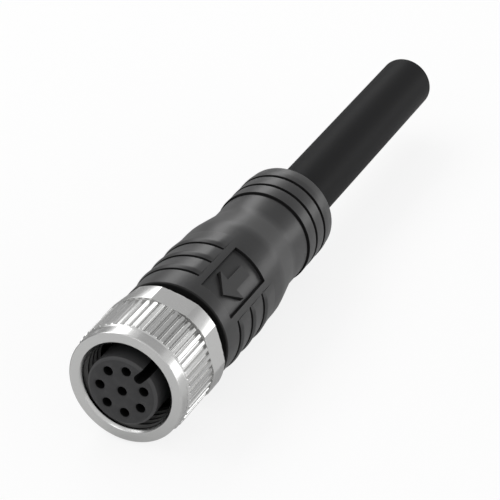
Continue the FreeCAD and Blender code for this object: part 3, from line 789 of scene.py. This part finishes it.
# Painted shade makes the front, the grooves and the walls of the panel and the arrow black.
for face in grip.data.polygons:
    distance, away = outwards(face)
    y = face.center.y / MM
    wall = away < GRIP_WALL_AWAY
    on_body = BODY_SHADE_START < y < RIDGE_END and distance > PANEL_FLOOR - WALL_MARGIN
    in_groove = PANEL_FLOOR + WALL_MARGIN < distance < GRIP_RADIUS - FLOOR_MARGIN
    on_tail = (
        TAIL_SHADE_SPAN[0] < y < TAIL_SHADE_SPAN[1]
        and TAIL_SHADE_RADIUS[0] < distance < TAIL_SHADE_RADIUS[1])
    in_tail_groove = distance < TAIL_GROOVE_FLOOR + FLOOR_MARGIN
    front = y < GRIP_FRONT + FRONT_ROUND
    if on_body and (wall or in_groove) or on_tail and (wall or in_tail_groove) or front:
        face.material_index = 1
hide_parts("overmould")
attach(grip, "connector")

# The cable's jacket is extruded black plastic, smooth and a little less glossy than the grip. It is
# cut square where the picture ends.
JACKET_COLOUR = (0.014, 0.014, 0.0145, 1)
JACKET_ROUGHNESS = 0.48
JACKET_SHINE = 0.03
JACKET_GRAIN = (0.16, 0.005)
JACKET_SECTION = (
    (3.629, 24.65, 0), (3.629, 84.40, 0.08), (2.2787, 84.40, 0.03), (2.2787, 24.65, 0))
JACKET_COLUMNS = 128

jacket_plastic = plastic(
    "jacket_plastic", JACKET_COLOUR, JACKET_ROUGHNESS, JACKET_SHINE, JACKET_GRAIN)
jacket = turned_piece(
    "cable_jacket_tube", rounded_section(JACKET_SECTION), JACKET_COLUMNS, jacket_plastic)
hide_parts("cable_jacket")
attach(jacket, "connector")

# The contacts are gold-plated brass sockets, turned from rod and slit at the front into a spring.
# They stand in the insert's chambers, with their solder cups behind.
GOLD_COLOUR = (0.83, 0.60, 0.22, 1)
GOLD_ROUGHNESS = 0.28
WIRES = 8

gold = surface("gold_plate", GOLD_COLOUR, GOLD_ROUGHNESS, Metallic=1.0)
for k in range(1, WIRES + 1):
    contact = cad_copy(f"gold_socket_{k}", f"socket_contact_{k}", gold)
    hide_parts(f"socket_contact_{k}")
    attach(contact, "connector")

# The eight wires run from the solder cups through an S-bend into the cable. Each is a bundle of
# seven bare copper strands, laid up with a slow twist, inside its own coloured plastic insulation.
COPPER_COLOUR = (0.80, 0.38, 0.22, 1)
COPPER_ROUGHNESS = 0.32
INSULATION_ROUGHNESS = 0.4
INSULATION_GRAIN = (0.15, 0.003)
CONTACT_CIRCLE = 2.75
CONTACTS_ROUND = 7
KEY_GAP = 64.8
CONTACT_STEP = (360 - KEY_GAP) / (CONTACTS_ROUND - 1)
LAY_RADIUS = 1.5787
SOLDER_CUP = 16.05
BEND = (19.75, 23.75)
CABLE_CUT = 84.40
STRAND_RADIUS = 0.108
STRAND_SIDES = 10
STRAND_RING = 0.217
STRANDS_ROUND = 6
TWIST_TURN_LENGTH = 8.0
TWIST_STEP = 1.0
BEND_STEPS = 12
WIRE_COLOURS = (
    ("white", (0.80, 0.80, 0.77, 1)), ("brown", (0.21, 0.09, 0.04, 1)),
    ("green", (0.03, 0.27, 0.08, 1)), ("yellow", (0.78, 0.58, 0.03, 1)),
    ("grey", (0.30, 0.31, 0.32, 1)), ("pink", (0.80, 0.34, 0.40, 1)),
    ("blue", (0.02, 0.10, 0.45, 1)), ("red", (0.55, 0.02, 0.02, 1)))


def wire_route(k):
    """Source mesh of a wire's route: straight, an S-bend from contact to lay, then straight."""
    ends = []
    for radius, step in ((CONTACT_CIRCLE, CONTACT_STEP), (LAY_RADIUS, 360 / CONTACTS_ROUND)):
        turn = math.radians(KEY_ANGLE + 180 + step * (k - CONTACTS_ROUND // 2))
        reach = radius if k < CONTACTS_ROUND else 0.0
        ends.append(Vector((reach * math.sin(turn), reach * math.cos(turn))))
    shift = (ends[1] - ends[0]).length
    swing = 2 * math.atan(shift / (BEND[1] - BEND[0]))
    points = [(ends[0], SOLDER_CUP)]
    for step in range(2 * BEND_STEPS + 1):
        part = abs(step / BEND_STEPS - 1)
        along = math.sin(swing * (1 - part)) / math.sin(swing) if swing > 0 else 1 - part
        across = (1 - math.cos(swing * (1 - part))) / (1 - math.cos(swing)) if swing > 0 else 0.0
        if step <= BEND_STEPS:
            share_y, share_across = along / 2, across / 2
        else:
            share_y, share_across = 1 - along / 2, 1 - across / 2
        y = BEND[0] + (BEND[1] - BEND[0]) * share_y
        points.append((ends[0].lerp(ends[1], share_across), y))
    points.append((ends[1], CABLE_CUT))
    mesh = bpy.data.meshes.new("route")
    mesh.from_pydata(
        [(place.x * MM, y * MM, place.y * MM) for place, y in points],
        [(n, n + 1) for n in range(len(points) - 1)], [])
    return mesh


copper = surface("bare_copper", COPPER_COLOUR, COPPER_ROUGHNESS, Metallic=1.0)
strand_tree, size = geometry_tree("twisted_strands", {
    "Strand radius": "Float", "Ring radius": "Float", "Turn length": "Float"})
curve = node(strand_tree, "GeometryNodeMeshToCurve", {0: size["Geometry"]}).outputs[0]
curve = node(strand_tree, "GeometryNodeResampleCurve", {
    "Curve": curve, "Length": TWIST_STEP * MM}, mode="LENGTH").outputs[0]
so_far = node(strand_tree, "GeometryNodeSplineParameter").outputs["Length"]
turns = calculated(strand_tree, "DIVIDE", so_far, size["Turn length"])
twist = calculated(strand_tree, "MULTIPLY", turns, 2 * math.pi)
curve = node(strand_tree, "GeometryNodeSetCurveTilt", {"Curve": curve, "Tilt": twist}).outputs[0]
strand = node(strand_tree, "GeometryNodeCurvePrimitiveCircle", {
    "Resolution": STRAND_SIDES, "Radius": size["Strand radius"]}).outputs[0]
hexagon = node(strand_tree, "GeometryNodeCurvePrimitiveCircle", {
    "Resolution": STRANDS_ROUND, "Radius": size["Ring radius"]}).outputs[0]
ring_points = node(strand_tree, "GeometryNodeCurveToPoints", {0: hexagon}, mode="EVALUATED")
outer = node(strand_tree, "GeometryNodeInstanceOnPoints", {
    "Points": ring_points.outputs[0], "Instance": strand}).outputs[0]
bundle = node(strand_tree, "GeometryNodeJoinGeometry")
strand_tree.links.new(strand, bundle.inputs[0])
strand_tree.links.new(outer, bundle.inputs[0])
bundle = node(strand_tree, "GeometryNodeRealizeInstances", {0: bundle.outputs[0]}).outputs[0]
laid_up = node(strand_tree, "GeometryNodeCurveToMesh", {
    "Curve": curve, "Profile Curve": bundle, "Fill Caps": True}).outputs[0]
finish_tree(strand_tree, laid_up, copper)
insulation_plastics = []
for k in range(1, WIRES + 1):
    strands = made_by(strand_tree, wire_route(k - 1), {
        "Strand radius": STRAND_RADIUS * MM, "Ring radius": STRAND_RING * MM,
        "Turn length": TWIST_TURN_LENGTH * MM})
    conductor = joined(f"copper_strands_{k}", [strands])
    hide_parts(f"conductor_{k}")
    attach(conductor, "connector")
    colour_name, colour = WIRE_COLOURS[k - 1]
    insulation_plastics.append(plastic(
        f"{colour_name}_insulation", colour, INSULATION_ROUGHNESS, grain=INSULATION_GRAIN))
    insulation = cad_copy(
        f"{colour_name}_insulation", f"wire_insulation_{k}", insulation_plastics[-1])
    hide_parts(f"wire_insulation_{k}")
    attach(insulation, "connector")

# The inner mould is hard plastic cast round the solder cups and the jacket's end before the grip is
# moulded over it. The CAD solids carry the same finishes as the pieces that stand for them.
INNER_MOULD_COLOUR = (0.03, 0.03, 0.03, 1)
INNER_MOULD_ROUGHNESS = 0.5

cad_finishes = {
    "coupling_nut": nickel,
    "contact_carrier": insert_plastic,
    "sealing_ring": rubber,
    "inner_mould": plastic("inner_mould_plastic", INNER_MOULD_COLOUR, INNER_MOULD_ROUGHNESS),
    "overmould": grip_plastic,
    "cable_jacket": jacket_plastic,
}
for k in range(1, WIRES + 1):
    cad_finishes[f"socket_contact_{k}"] = gold
    cad_finishes[f"conductor_{k}"] = copper
    cad_finishes[f"wire_insulation_{k}"] = insulation_plastics[k - 1]
for node_name, finish in cad_finishes.items():
    cad_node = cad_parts[node_name]
    cad_node.data.materials.clear()
    cad_node.data.materials.append(finish)
